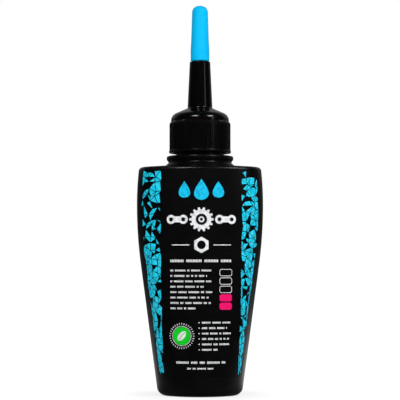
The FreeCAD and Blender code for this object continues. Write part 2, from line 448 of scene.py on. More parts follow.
@dataclass(frozen=True)
class PaleFloor(Finish):
    """White paper that keeps the shadow near the bottle, with a sheen that gloss alone shows."""

    paper: Tint = Tint.PAPER_WHITE
    glow: float = 1.1
    shadow_fade: Limits = (0.016, 0.045)
    shadow_wash: float = 0.7
    sheen_far: float = 0.07
    sheen_levels: Limits = (0.5, 1.25)
    sheen_rise: Limits = (0.0, 0.04)
    sheen_fall: Limits = (0.04, 0.33)
    sheen_depth: Limits = (-0.03, 0.05)

    def shade(self, sheet: Sheet) -> Signal:
        """Shade the paper, its glow and its sheen.

        Args:
            sheet: Sheet of the material.

        Returns:
            The shader.
        """
        reach = sheet.node("ShaderNodeVectorMath", {"operation": "LENGTH"}, {0: sheet.place}, "Value")
        far = reach.step(*self.shadow_fade)
        washed = sheet.ray("Is Camera Ray") * (self.shadow_wash + far * (1.0 - self.shadow_wash))
        paper = sheet.node("ShaderNodeBsdfDiffuse", None, {"Color": self.paper})
        lit = sheet.blend(washed, paper, sheet.node("ShaderNodeEmission", None, {"Strength": self.glow}))
        pool = reach.step(*self.sheen_rise) * (1 - reach.step(*self.sheen_fall))
        behind = sheet.axis("Y").step(*self.sheen_depth)
        sheen = GLOSS_DARK + behind * (self.sheen_far - GLOSS_DARK + pool * sheet.by_side(*self.sheen_levels))
        mirror = sheet.node("ShaderNodeEmission", None, {"Color": sheen})
        return sheet.blend(sheet.ray("Is Glossy Ray"), lit, mirror)


BLACK_FILM = PrintedFilm("black_film", 0.3, Tint.FILM_BLACK, Tint.FILM_BLOOM, 0.35)
WHITE_INK = Ink("white_ink", 0.45, Tint.INK_WHITE, Tint.INK_GREY)


@dataclass(frozen=True)
class PlanArcs:
    """The four arcs of one level section of the body: two crowns and two ends."""

    crown: float
    end: float
    centre: float
    deep: float
    join: float


@dataclass(frozen=True)
class OvalForm:
    """Outside of the oval body: its side outline, its depth and its four-arc plan."""

    belly_width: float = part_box("bottle")[1].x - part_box("bottle")[0].x
    belly_depth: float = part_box("bottle")[1].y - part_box("bottle")[0].y
    belly_height: float = 68.5 * MM
    foot_width: float = 30.1 * MM
    foot_depth: float = 24.2 * MM
    taper_bend: float = 163.0 * MM
    shoulder_bend: float = 115.0 * MM
    crown_rise: float = 2.7 * MM

    def taper(self) -> float:
        """Find the lean of the straight side below the belly.

        Returns:
            The angle from upright.
        """
        foot = (self.foot_width - self.belly_width) / 2 + self.taper_bend
        lean = math.acos(self.taper_bend / math.hypot(foot, self.belly_height))
        return math.atan2(self.belly_height, foot) - lean

    def half_width(self, height: float) -> float:
        """Find half the width: a straight taper, one arc into the belly and one on to the shoulder.

        Args:
            height: Height above the table.

        Returns:
            Half the width there.
        """
        taper = self.taper()
        if height < self.belly_height - self.taper_bend * math.sin(taper):
            return self.foot_width / 2 + height * math.tan(taper)
        bend = self.taper_bend if height < self.belly_height else self.shoulder_bend
        return self.belly_width / 2 - bend + math.sqrt(bend ** 2 - (height - self.belly_height) ** 2)

    def half_depth(self, height: float) -> float:
        """Return half the depth, which grows evenly up to the belly and then stays."""
        share = min(height / self.belly_height, 1.0)
        return (self.foot_depth + (self.belly_depth - self.foot_depth) * share) / 2

    def arcs(self, height: float) -> PlanArcs:
        """Find the arcs of a section.

        Args:
            height: Height of the section.

        Returns:
            The arcs.
        """
        deep = self.half_depth(height)
        end = deep - self.crown_rise
        centre = self.half_width(height) - end
        crown = (centre ** 2 + deep ** 2 - end ** 2) / (2 * self.crown_rise)
        return PlanArcs(crown, end, centre, deep, math.asin(centre / (crown - end)))

    def outline(self, height: float, bearing: float, grow: float) -> tuple[float, float]:
        """Find the point of a section that faces a bearing.

        Args:
            height: Height of the section.
            bearing: Direction that the wall faces there, from +X towards +Y.
            grow: Offset outwards.

        Returns:
            The point's X and Y.
        """
        arcs = self.arcs(height)
        east, north = math.cos(bearing), math.sin(bearing)
        if abs(east) <= math.sin(arcs.join):
            reach = arcs.crown + grow
            return reach * east, reach * north - math.copysign(arcs.crown - arcs.deep, north)
        reach = arcs.end + grow
        return reach * east + math.copysign(arcs.centre, east), reach * north

    def inset(self, height: float, across: float, along: float) -> float:
        """Find how far a point lies inside a section.

        Args:
            height: Height of the section.
            across: The point's X.
            along: The point's Y.

        Returns:
            The distance inwards from the section's outline.
        """
        arcs = self.arcs(height)
        crown_along = abs(along) + arcs.crown - arcs.deep
        if math.atan2(abs(across), crown_along) <= arcs.join:
            return arcs.crown - math.hypot(across, crown_along)
        return arcs.end - math.hypot(abs(across) - arcs.centre, along)

    def edge(self, height: float, margin: float) -> float:
        """Find how far round the front from the middle a point near the side lies.

        Args:
            height: Height of the point.
            margin: Distance of the point from the side as seen from the front.

        Returns:
            The length of the arc.
        """
        arcs = self.arcs(height)
        across = self.half_width(height) - margin
        if across <= arcs.crown * math.sin(arcs.join):
            return arcs.crown * math.asin(across / arcs.crown)
        return arcs.crown * arcs.join + arcs.end * (math.asin((across - arcs.centre) / arcs.end) - arcs.join)

    def front(self, girth: float, height: float, lift: float) -> Vector:
        """Find a point on the front from its place on a flat film.

        Args:
            girth: Distance round the front from the middle, negative to the left.
            height: Height above the table.
            lift: Distance off the bottle's surface.

        Returns:
            The point.
        """
        arcs = self.arcs(height)
        past = abs(girth) - arcs.crown * arcs.join
        if past <= 0:
            turn = girth / arcs.crown
            reach = arcs.crown + lift
            return Vector((reach * math.sin(turn), arcs.crown - arcs.deep - reach * math.cos(turn), height))
        turn = arcs.join + past / arcs.end
        reach = arcs.end + lift
        across = math.copysign(arcs.centre + reach * math.sin(turn), girth)
        return Vector((across, -reach * math.cos(turn), height))


class Ring(Protocol):
    """A level ring of a drawn wall."""

    def spot(self, column: int, bearing: float) -> Vector:
        """Return the ring's point in a column."""


@dataclass(frozen=True)
class RoundRing:
    """A round ring, which may stand out on the columns of grip ribs."""

    radius: float
    height: float
    rib: float = 0.0
    columns_per_rib: int = 4
    crest_columns: tuple[int, int] = (1, 2)

    def spot(self, column: int, bearing: float) -> Vector:
        """Return the ring's point in a column."""
        reach = self.radius + (self.rib if column % self.columns_per_rib in self.crest_columns else 0.0)
        return Vector((reach * math.cos(bearing), reach * math.sin(bearing), self.height))


@dataclass(frozen=True)
class OvalRing:
    """A ring that follows a section of the body, offset outwards, laid at a level and kept outside a neck."""

    form: OvalForm
    height: float
    level: float
    grow: float = 0.0
    neck: float = 0.0

    def spot(self, column: int, bearing: float) -> Vector:
        """Find the ring's point in a column.

        Args:
            column: Number of the column, not used.
            bearing: Bearing of the column.

        Returns:
            The point.
        """
        across, along = self.form.outline(self.height, bearing, self.grow)
        spread = max(self.neck / math.hypot(across, along), 1.0)
        return Vector((across * spread, along * spread, self.level))


@dataclass(frozen=True)
class SlopeRing:
    """A ring on the slope of the shoulder, a share of the way from its rim to the foot of the neck."""

    rim: OvalRing
    foot: RoundRing
    share: float
    flat: float
    run: float

    def spot(self, column: int, bearing: float) -> Vector:
        """Find the ring's point in a column.

        Args:
            column: Number of the column.
            bearing: Bearing of the column.

        Returns:
            The point.
        """
        spot = self.rim.spot(column, bearing).lerp(self.foot.spot(column, bearing), self.share)
        inset = self.rim.form.inset(self.rim.height, spot.x, spot.y)
        climb = min(max((inset - self.flat) / self.run, 0.0), 1.0)
        spot.z = self.rim.level + climb * (self.foot.height - self.rim.level)
        return spot


@dataclass(frozen=True)
class Corner:
    """A corner of a half section, rounded by a fillet if it has one."""

    radius: float
    height: float
    fillet: float = 0.0


def profile(corners: Sequence[Corner], longest: float = 1.0 * MM, steps: int = 6) -> list[RoundRing]:
    """Turn the corners of a half section into rings.

    Args:
        corners: Corners in order.
        longest: Greatest distance between rings on a straight run.
        steps: Rings on each fillet.

    Returns:
        The rings in order.
    """
    spots = [Vector((corner.radius, corner.height)) for corner in corners]
    path: list[Vector] = []
    for index, corner in enumerate(corners):
        if not corner.fillet:
            path.append(spots[index])
            continue
        back = (spots[index - 1] - spots[index]).normalized()
        ahead = (spots[index + 1] - spots[index]).normalized()
        half = back.angle(ahead) / 2
        middle = spots[index] + (back + ahead).normalized() * (corner.fillet / math.sin(half))
        start = spots[index] + back * (corner.fillet / math.tan(half)) - middle
        sweep = start.angle_signed(spots[index] + ahead * (corner.fillet / math.tan(half)) - middle)
        for step in range(steps + 1):
            path.append(middle + Matrix.Rotation(-sweep * step / steps, 2) @ start)
    rings = [RoundRing(*path[0])]
    for before, after in zip(path, path[1:]):
        spans = max(1, math.ceil((after - before).length / longest))
        rings += [RoundRing(*before.lerp(after, span / spans)) for span in range(1, spans + 1)]
    return rings


def even_bearings(count: int) -> list[float]:
    """Return bearings spread evenly round a circle."""
    return [2 * math.pi * step / count for step in range(count)]


class Loft:
    """A wall that is drawn up ring by ring from a circle of columns."""

    def __init__(self, bearings: Sequence[float]) -> None:
        """Start a circle of columns.

        Args:
            bearings: Bearing of each column.
        """
        self.mesh = bmesh.new()
        self.bearings = bearings
        self.row = bmesh.ops.create_circle(self.mesh, segments=len(bearings), radius=1.0)["verts"]
        self.edges = list(self.mesh.edges)
        self.bare = True

    def draw(self, rings: Sequence[Ring]) -> "Loft":
        """Draw the wall on through more rings.

        Args:
            rings: Rings in order.

        Returns:
            This loft.
        """
        for ring in rings:
            if not self.bare:
                grown = bmesh.ops.extrude_edge_only(self.mesh, edges=self.edges)["geom"]
                fresh = {part for part in grown if isinstance(part, bmesh.types.BMVert)}
                edges = [part for part in grown if isinstance(part, bmesh.types.BMEdge)]
                self.edges = [edge for edge in edges if fresh.issuperset(edge.verts)]
                self.row = [self.above(vert, fresh) for vert in self.row]
            self.bare = False
            for column, vert in enumerate(self.row):
                vert.co = ring.spot(column, self.bearings[column])
        return self

    @staticmethod
    def above(vert: bmesh.types.BMVert, fresh: set) -> bmesh.types.BMVert:
        """Return the fresh vertex that was drawn from a vertex."""
        others = (edge.other_vert(vert) for edge in vert.link_edges)
        return next(other for other in others if other in fresh)

    def closed(self) -> Mesh:
        """Return the mesh with coinciding rings merged and its open ends filled."""
        bmesh.ops.remove_doubles(self.mesh, verts=self.mesh.verts, dist=WELD)
        return capped(self.mesh)


def capped(mesh: Mesh) -> Mesh:
    """Fill the open ends of a mesh and turn its faces outwards.

    Args:
        mesh: The mesh.

    Returns:
        The same mesh.
    """
    bmesh.ops.holes_fill(mesh, edges=[edge for edge in mesh.edges if edge.is_boundary], sides=0)
    bmesh.ops.recalc_face_normals(mesh, faces=mesh.faces)
    return mesh


def join(mesh: Mesh, other: Mesh) -> None:
    """Move the shapes of another mesh into a mesh.

    Args:
        mesh: Mesh that receives the shapes.
        other: Mesh that is freed.
    """
    carrier = bpy.data.meshes.new("carrier")
    other.to_mesh(carrier)
    other.free()
    mesh.from_mesh(carrier)
    bpy.data.meshes.remove(carrier)


@dataclass(frozen=True)
class Thread:
    """A right-hand screw thread, as one ridge that winds up a wall and runs out into it at both ends.

    The facing is 1 on a neck and -1 in a socket. The drop is the distance of the upper end below the mouth,
    and the lift, a share of the lead, raises the ridge from there.
    """

    root: float
    mouth: float
    facing: int = 1
    lift: float = 0.0
    height: float = 0.9 * MM
    drop: float = 2.6 * MM
    lead: float = 3.175 * MM
    turns: float = 1.5
    foot_half: float = 0.62 * MM
    crest_half: float = 0.24 * MM
    steps_per_turn: int = 72
    run_out: float = 0.14
    end_share: float = 0.12

    def start(self) -> float:
        """Return the height of the lower end."""
        return self.mouth - self.drop - self.lead * (self.turns - self.lift)

    def height_share(self, spot: Vector) -> float:
        """Find the share of the ridge's full height that it has at a point.

        Args:
            spot: Point on the ridge.

        Returns:
            The share, which falls to the end share over the run-out, in turns, at both ends.
        """
        bearing = math.atan2(spot.y, spot.x) / (2 * math.pi) % 1.0
        wound = bearing + round((spot.z - self.start()) / self.lead - bearing)
        return min(1.0, self.end_share + min(wound, self.turns - wound) / self.run_out)

    def wind(self, mesh: Mesh) -> None:
        """Add the ridge to a mesh as a closed shell.

        Args:
            mesh: Mesh of the wall.
        """
        ridge = bmesh.new()
        crest = self.root + self.facing * self.height
        section = [
            (self.root, -self.foot_half), (crest, -self.crest_half),
            (crest, self.crest_half), (self.root, self.foot_half),
        ]
        corners = [ridge.verts.new((radius, 0.0, self.start() + rise)) for radius, rise in section]
        edges = [ridge.edges.new((corners[index - 1], corners[index])) for index in range(len(corners))]
        bmesh.ops.spin(
            ridge, geom=corners + edges, axis=(0, 0, 1), cent=(0, 0, 0), angle=2 * math.pi * self.turns,
            dvec=(0, 0, self.lead / self.steps_per_turn), steps=round(self.turns * self.steps_per_turn),
        )
        for vert in ridge.verts:
            reach = vert.co.xy.length
            vert.co.xy *= (self.root + (reach - self.root) * self.height_share(vert.co)) / reach
        join(mesh, capped(ridge))


def linked(name: str, data: bpy.types.ID) -> bpy.types.Object:
    """Put new data in the scene.

    Args:
        name: Name of the object.
        data: Its mesh, camera or lamp.

    Returns:
        The object.
    """
    made = bpy.data.objects.new(name, data)
    bpy.context.scene.collection.objects.link(made)
    return made


def dressed(mesh: Mesh, name: str, finish: Finish) -> bpy.types.Object:
    """Put a mesh in the scene in a finish.

    Args:
        mesh: The mesh, which is freed.
        name: Name of the object.
        finish: Finish of its faces.

    Returns:
        The object.
    """
    data = bpy.data.meshes.new(name)
    mesh.to_mesh(data)
    mesh.free()
    data.materials.append(finish.material())
    return linked(name, data)


@dataclass
class SubAssembly:
    """A group of pieces that ride on one body."""

    body: Body
    slot: str

    def publish(self, mesh: Mesh, name: str, finish: Finish, stands_for: str = "") -> None:
        """Make a piece of a finished mesh.

        Args:
            mesh: The mesh, which is freed.
            name: Name of the piece.
            finish: Finish of the piece.
            stands_for: Node of the frame that the piece replaces, if any.
        """
        for face in mesh.faces:
            face.smooth = True
        for edge in mesh.edges:
            edge.smooth = edge.is_manifold and edge.calc_face_angle() < CRISP_ANGLE
        piece = dressed(mesh, name, finish)
        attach(piece, self.body.value)
        if stands_for:
            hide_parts(stands_for)
        LOG.info("%s: %d faces on %s", name, len(piece.data.polygons), self.body.value)


@dataclass
class Bottle(SubAssembly):
    """The hollow bottle, its round neck with bead and thread, and its pushed-up base."""

    form: OvalForm = OvalForm()
    mouth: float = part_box("bottle")[1].z
    body_height: float = 81.7 * MM
    level_gap: float = 1.6 * MM
    columns: int = 160
    fillet_steps: int = 8
    foot_fillet: float = 2.8 * MM
    standing_ring: float = 1.6 * MM
    push_up: float = 1.2 * MM
    push_up_slope: float = 1.8 * MM
    base_wall: float = 1.3 * MM
    wall: float = 1.1 * MM
    shoulder_fillet: float = 1.2 * MM
    shoulder_flat: float = 1.55 * MM
    shoulder_rise: float = 0.7 * MM
    shoulder_run: float = 7.5 * MM
    shoulder_steps: int = 12
    stub_radius: float = 11.25 * MM
    stub_flare: float = 1.1 * MM
    stub_fillet: float = 0.4 * MM
    stub_height: float = 1.0 * MM
    bead_radius: float = 12.0 * MM
    bead_height: float = 2.3 * MM
    bead_flank: float = 1.1 * MM
    bead_fillet: float = 0.5 * MM
    finish_radius: float = 8.6 * MM
    mouth_fillet: float = 0.4 * MM
    neck_wall: float = 1.5 * MM
    funnel_height: float = 4.2 * MM
    funnel_flare: float = 2.3 * MM
    plastic: Finish = BlownPlastic("black_blown_plastic", 0.3, Tint.BOTTLE_BLACK, Tint.BOTTLE_BLOOM, 0.42)

    def quarter(self) -> list[float]:
        """Return the bearings along a fillet, from 0 to a quarter turn."""
        return [math.pi / 2 * step / self.fillet_steps for step in range(self.fillet_steps + 1)]

    def levels(self, low: float, high: float) -> list[float]:
        """Return evenly spaced levels from one height to another."""
        spans = math.ceil(abs(high - low) / self.level_gap)
        return [low + (high - low) * span / spans for span in range(spans + 1)]

    def ring(self, level: float, grow: float = 0.0, neck: float = 0.0) -> OvalRing:
        """Return a ring of the body at its own level."""
        return OvalRing(self.form, level, level, grow, neck)

    def base(self) -> list[Ring]:
        """Draw the pushed-up base and the rounded foot.

        Returns:
            The rings from the middle outwards.
        """
        inner = -self.foot_fillet - self.standing_ring
        rings = [OvalRing(self.form, 0.0, self.push_up, inner - self.push_up_slope), self.ring(0.0, inner)]
        for turn in self.quarter():
            level = self.foot_fillet * (1 - math.cos(turn))
            rings.append(self.ring(level, self.foot_fillet * (math.sin(turn) - 1)))
        return rings

    def side(self) -> list[Ring]:
        """Draw the side wall and the rounded edge of the shoulder.

        Returns:
            The rings upwards.
        """
        top = self.body_height - self.shoulder_fillet
        rings = [self.ring(level) for level in self.levels(self.foot_fillet, top)[1:]]
        for turn in self.quarter()[1:]:
            level = top + self.shoulder_fillet * math.sin(turn)
            rings.append(self.rim(level, self.shoulder_fillet * (math.cos(turn) - 1)))
        return rings

    def rim(self, level: float, grow: float) -> OvalRing:
        """Return a ring of the shoulder's rounded edge, outside the foot of the neck."""
        return self.ring(level, grow, self.stub_radius + self.stub_flare)

    def neck(self) -> list[Ring]:
        """Draw the shoulder's slope, the stub, the bead, the screw finish and the bore.

        Returns:
            The rings in order.
        """
        shoulder_top = self.body_height + self.shoulder_rise
        waist = shoulder_top + self.stub_height
        bead_top = waist + self.bead_height
        bore = self.finish_radius - self.neck_wall
        ceiling = self.body_height - self.wall
        rim = self.rim(self.body_height, -self.shoulder_fillet)
        foot = RoundRing(rim.neck, shoulder_top)
        shares = [step / self.shoulder_steps for step in range(1, self.shoulder_steps + 1)]
        slope = [SlopeRing(rim, foot, share, self.shoulder_flat, self.shoulder_run) for share in shares]
        return slope + profile([
            Corner(rim.neck, shoulder_top),
            Corner(self.stub_radius, waist, self.stub_fillet),
            Corner(self.bead_radius, waist + self.bead_flank, self.bead_fillet),
            Corner(self.bead_radius, bead_top, self.bead_fillet),
            Corner(self.finish_radius, bead_top),
            Corner(self.finish_radius, self.mouth, self.mouth_fillet),
            Corner(bore, self.mouth),
            Corner(bore, ceiling + self.funnel_height),
            Corner(bore + self.funnel_flare, ceiling),
        ])

    def inside(self) -> list[Ring]:
        """Return the rings of the cavity, from its ceiling down to its floor."""
        levels = self.levels(self.body_height - self.wall, self.push_up + self.base_wall)
        return [self.ring(level, -self.wall) for level in levels]

    def build(self) -> None:
        """Build and dress the bottle."""
        loft = Loft(even_bearings(self.columns))
        mesh = loft.draw([*self.base(), *self.side(), *self.neck(), *self.inside()]).closed()
        Thread(self.finish_radius, self.mouth).wind(mesh)
        self.publish(mesh, "bottle_skin", self.plastic, "bottle")


@dataclass
class Closure(SubAssembly):
    """The screw closure: ribbed skirt, dome, tapering spout and bored nozzle, in one moulding."""

    rim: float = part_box("spout_cap")[0].z
    mouth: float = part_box("sealing_washer")[0].z
    seat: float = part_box("sealing_washer")[1].z
    top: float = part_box("spout_cap")[1].z
    socket_radius: float = 9.75 * MM
    socket_chamfer: float = 0.4 * MM
    thread_lift: float = 0.5
    recess_radius: float = 9.5 * MM
    rib_root: float = 10.7 * MM
    rib_height: float = 0.32 * MM
    rib_count: int = 90
    rib_crest_share: float = 0.35
    rib_bevel: float = 0.9 * MM
    rib_spans: int = 8
    hem_height: float = 0.9 * MM
    hem_proud: float = 0.14 * MM
    hem_fillet: float = 0.12 * MM
    hem_steps: int = 3
    dome_radius: float = 10.45 * MM
    dome_height: float = 4.85 * MM
    dome_slope: float = math.radians(24.0)
    dome_fillet: float = 2.8 * MM
    dome_wall: float = 1.3 * MM
    spout_base: float = 4.48 * MM
    spout_top: float = 3.7 * MM
    spout_wall: float = 1.4 * MM
    spout_root_fillet: float = 0.5 * MM
    spout_steps: int = 12
    ledge_fillet: float = 0.3 * MM
    nozzle_height: float = 16.2 * MM
    nozzle_base: float = 2.35 * MM
    nozzle_tip: float = 1.75 * MM
    nozzle_fillet: float = 0.3 * MM
    nozzle_wall: float = 0.9 * MM
    orifice: float = 0.8 * MM
    funnel_radius: float = 6.6 * MM
    inside_span: float = 4.0 * MM
    plastic: Finish = ClosurePlastic("black_closure_plastic", 0.16, Tint.CLOSURE_BLACK, Tint.CLOSURE_BLOOM)

    def bearings(self) -> list[float]:
        """Space out four columns for each rib: the two sides of its root and the two of its crest.

        Returns:
            The bearings of all columns.
        """
        pitch = 2 * math.pi / self.rib_count
        crest = pitch * self.rib_crest_share / 2
        offsets = (crest - pitch / 2, -crest, crest, pitch / 2 - crest)
        return [rib * pitch + offset for rib in range(self.rib_count) for offset in offsets]

    def skirt(self) -> list[Ring]:
        """Draw the hem and the ribs, up to their bevelled tops.

        Returns:
            The rings upwards.
        """
        hem = self.rib_root + self.rib_height + self.hem_proud
        hem_top = self.rim + self.hem_height
        rise = (self.seat - self.rib_bevel - hem_top) / self.rib_spans
        ribs = [hem_top + rise * span for span in range(self.rib_spans + 1)]
        return profile([
            Corner(self.socket_radius + self.socket_chamfer, self.rim),
            Corner(hem, self.rim, self.hem_fillet),
            Corner(hem, hem_top, self.hem_fillet),
            Corner(self.rib_root, hem_top),
        ], steps=self.hem_steps) + [RoundRing(self.rib_root, height, self.rib_height) for height in ribs]

    def spout(self) -> list[Ring]:
        """Draw the dome, the spout, the ledge and the nozzle.

        Returns:
            The rings upwards.
        """
        foot = self.seat + self.dome_height
        ledge = self.top - self.nozzle_height
        edge = foot - (self.dome_radius - self.spout_base) * math.tan(self.dome_slope)
        return profile([
            Corner(self.dome_radius, self.seat),
            Corner(self.dome_radius, edge, self.dome_fillet),
            Corner(self.spout_base, foot, self.spout_root_fillet),
            Corner(self.spout_top, ledge, self.ledge_fillet),
            Corner(self.nozzle_base, ledge),
            Corner(self.nozzle_tip, self.top, self.nozzle_fillet),
            Corner(self.orifice, self.top),
        ], steps=self.spout_steps)

    def inside(self) -> list[Ring]:
        """Draw the bore, the washer's recess and the socket.

        Returns:
            The rings downwards, back to the rim.
        """
        spout_ceiling = self.seat + self.dome_height - self.dome_wall / math.cos(self.dome_slope)
        return profile([
            Corner(self.orifice, self.top),
            Corner(self.nozzle_base - self.nozzle_wall, self.top - self.nozzle_height),
            Corner(self.spout_base - self.spout_wall, spout_ceiling),
            Corner(self.funnel_radius, self.seat),
            Corner(self.recess_radius, self.seat),
            Corner(self.recess_radius, self.mouth),
            Corner(self.socket_radius, self.mouth - self.socket_chamfer),
            Corner(self.socket_radius, self.rim + self.socket_chamfer),
            Corner(self.socket_radius + self.socket_chamfer, self.rim),
        ], longest=self.inside_span)[1:]

    def build(self) -> None:
        """Build and dress the closure."""
        mesh = Loft(self.bearings()).draw([*self.skirt(), *self.spout(), *self.inside()]).closed()
        Thread(self.socket_radius, self.mouth, -1, self.thread_lift).wind(mesh)
        self.publish(mesh, "spout_closure", self.plastic, "spout_cap")


@dataclass
class TipCap(SubAssembly):
    """The blue pull-off cap over the nozzle."""

    rim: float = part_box("tip_cap")[0].z
    top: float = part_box("tip_cap")[1].z
    columns: int = 96
    bore_base: float = 2.4 * MM
    bore_top: float = 1.8 * MM
    bore_taper_height: float = 16.05 * MM
    rim_wall: float = 0.98 * MM
    fade_radius: float = 3.2 * MM
    end_wall: float = 0.98 * MM
    band_height: float = 4.2 * MM
    band_fade: float = 3.0 * MM
    band_fillet: float = 5.0 * MM
    crown: float = 3.75 * MM
    crown_fillet: float = 2.3 * MM
    rim_fillet: float = 0.45 * MM
    top_flat: float = 0.05 * MM
    fillet_steps: int = 10
    plastic: Finish = TipPlastic("blue_tip_plastic", 0.5, Tint.TIP_BLUE, Tint.TIP_DEEP, 0.1)

    def build(self) -> None:
        """Build and dress the tip cap."""
        band_top = self.rim + self.band_height
        end = self.top - self.crown
        wall = profile([
            Corner(self.top_flat, end),
            Corner(self.bore_top, end),
            Corner(self.bore_top, self.rim + self.bore_taper_height),
            Corner(self.bore_base, self.rim),
            Corner(self.bore_base + self.rim_wall, self.rim, self.rim_fillet),
            Corner(self.bore_base + self.rim_wall, band_top, self.band_fillet),
            Corner(self.fade_radius, band_top + self.band_fade, self.band_fillet),
            Corner(self.bore_top + self.end_wall, self.top, self.crown_fillet),
            Corner(self.top_flat, self.top),
        ], steps=self.fillet_steps)
        mesh = Loft(even_bearings(self.columns)).draw(wall).closed()
        self.publish(mesh, "tip_cap_skin", self.plastic, "tip_cap")


Curve = Callable[[float], float]
Reach = Union[float, Curve]


def panel(width: float, height: float, corner: float, steps: int = 6) -> Mesh:
    """Draw a flat rectangle with rounded corners.

    Args:
        width: Size along X.
        height: Size along Y.
        corner: Radius of the corners.
        steps: Number of steps round each corner.

    Returns:
        The flat mesh.
    """
    mesh = bmesh.new()
    bmesh.ops.create_grid(mesh, x_segments=1, y_segments=1, size=0.5)
    bmesh.ops.scale(mesh, verts=mesh.verts, vec=(width, height, 1))
    bmesh.ops.bevel(
        mesh, geom=mesh.verts[:], offset=corner, affect="VERTICES", segments=steps, profile=0.5, material=-1,
    )
    return mesh


def outlined(mesh: Mesh, line: float) -> Mesh:
    """Take all but a line along its edge out of a flat mesh.

    Args:
        mesh: Flat mesh.
        line: Width of the line.

    Returns:
        The same mesh.
    """
    rim = bmesh.ops.inset_region(
        mesh, faces=mesh.faces[:], thickness=line, use_boundary=True, use_even_offset=True,
    )
    kept = set(rim["faces"])
    bmesh.ops.delete(mesh, geom=[face for face in mesh.faces if face not in kept], context="FACES")
    return mesh


def disc(reach: Reach, hole: float = 0.0, segments: int = 48) -> Mesh:
    """Draw a flat shape round a point.

    Args:
        reach: Distance of the edge from the point, the same all round or by bearing.
        hole: Radius of a round hole, if any.
        segments: Number of steps round the edge.

    Returns:
        The flat mesh.
    """
    mesh = bmesh.new()
    for edge in (reach, hole) if hole else (reach,):
        circle = bmesh.ops.create_circle(mesh, cap_ends=not hole, segments=segments, radius=1.0)
        for vert in circle["verts"]:
            vert.co *= edge(math.atan2(vert.co.y, vert.co.x)) if callable(edge) else edge
    if hole:
        bmesh.ops.bridge_loops(mesh, edges=mesh.edges[:])
    return mesh


def band(length: float, low: Curve, high: Curve, spans: int) -> Mesh:
    """Draw a flat shape between two curves.

    Args:
        length: Size along X.
        low: Lower edge, by X from the middle.
        high: Upper edge, by X from the middle.
        spans: Number of steps along X.

    Returns:
        The flat mesh.
    """
    mesh = bmesh.new()
    bmesh.ops.create_grid(mesh, x_segments=spans, y_segments=1, size=0.5)
    for vert in mesh.verts:
        across = vert.co.x * length
        vert.co = Vector((across, high(across) if vert.co.y > 0 else low(across), 0))
    bmesh.ops.remove_doubles(mesh, verts=mesh.verts, dist=FLAT_WELD)
    return mesh


@dataclass(frozen=True)
class Plate:
    """How one ink of the print is laid: the name of its piece, its finish and the number of inks under it."""

    piece: str
    finish: Finish
    layer: int = 0


class Inks(Enum):
    """Inks of the print, in the order in which they are laid."""

    WHITE = Plate("print_white", WHITE_INK)
    CYAN = Plate("print_cyan", Ink("cyan_ink", 0.4, Tint.INK_CYAN, Tint.INK_CYAN_DEEP))
    PINK = Plate("print_pink", Ink("pink_ink", 0.4, Tint.INK_PINK, Tint.INK_PINK_DEEP))
    GREEN = Plate("print_green", Ink("green_ink", 0.4, Tint.INK_GREEN, Tint.INK_GREEN_DEEP))
    STRIPS = Plate("print_strips", StripInk("strip_ink", 0.4, Tint.STRIP_CYAN, Tint.STRIP_DEEP))
    LEAF = Plate("print_leaf", WHITE_INK, 1)
    PINS = Plate("print_pins", BLACK_FILM, 1)


class Press:
    """A flat sheet of shapes for each ink, with X round the front and Y up from the table."""

    def __init__(self, middle: float, dice: random.Random) -> None:
        """Start with empty sheets.

        Args:
            middle: Middle of the print along X.
            dice: Source of the uneven groups of ticks.
        """
        self.middle = middle
        self.dice = dice
        self.sheets = {ink: bmesh.new() for ink in Inks}

    def stamp(self, ink: Inks, shape: Mesh, across: float, height: float, turn: float = 0.0) -> None:
        """Add a shape to a sheet.

        Args:
            ink: Ink of the shape.
            shape: Flat mesh, which is freed.
            across: Place along X from the middle of the print.
            height: Place along Y.
            turn: Turn of the shape about its middle.
        """
        bmesh.ops.rotate(shape, verts=shape.verts, cent=(0, 0, 0), matrix=Matrix.Rotation(turn, 3, "Z"))
        bmesh.ops.translate(shape, verts=shape.verts, vec=(self.middle + across, height, 0))
        join(self.sheets[ink], shape)


class Motif(Protocol):
    """A part of the print."""

    def stamp(self, press: Press) -> None:
        """Print the motif."""


@dataclass(frozen=True)
class NutPrint:
    """A nut between two rules."""

    height: float = 53.6 * MM
    sides: int = 6
    nut: float = 2.9 * MM
    hole: float = 1.5 * MM
    rule: tuple[float, float] = (6.4 * MM, 0.32 * MM)
    rule_corner: float = 0.1568 * MM
    rule_middle: float = 7.4 * MM

    def edge(self, bearing: float) -> float:
        """Return the reach of the nut's edge at a bearing."""
        half = math.pi / self.sides
        return self.nut * math.cos(half) / math.cos((bearing + half) % (2 * half) - half)

    def stamp(self, press: Press) -> None:
        """Print the nut and the rules.

        Args:
            press: The press.
        """
        press.stamp(Inks.WHITE, disc(self.edge, self.hole), 0.0, self.height)
        for side in (-1, 1):
            press.stamp(Inks.WHITE, panel(*self.rule, self.rule_corner), side * self.rule_middle, self.height)


@dataclass(frozen=True)
class DropPrint:
    """A row of drops with their points up: the place along X, the width and the height of each."""

    height: float = 73.2 * MM
    drops: tuple[tuple[float, float, float], ...] = (
        (-6.0 * MM, 4.3 * MM, 5.9 * MM),
        (0.0, 5.4 * MM, 7.4 * MM),
        (6.0 * MM, 4.3 * MM, 5.9 * MM),
    )
    slimness: float = 1.4
    fullest: float = 0.75

    def stamp(self, press: Press) -> None:
        """Print the drops.

        Args:
            press: The press.
        """
        for across, width, height in self.drops:
            shape = disc(1.0)
            for vert in shape.verts:
                turn = math.atan2(vert.co.x, vert.co.y)
                swell = math.sin(turn) * abs(math.sin(turn / 2)) ** self.slimness / self.fullest
                vert.co = Vector((swell * width / 2, vert.co.y * height / 2, 0))
            press.stamp(Inks.CYAN, shape, across, self.height)


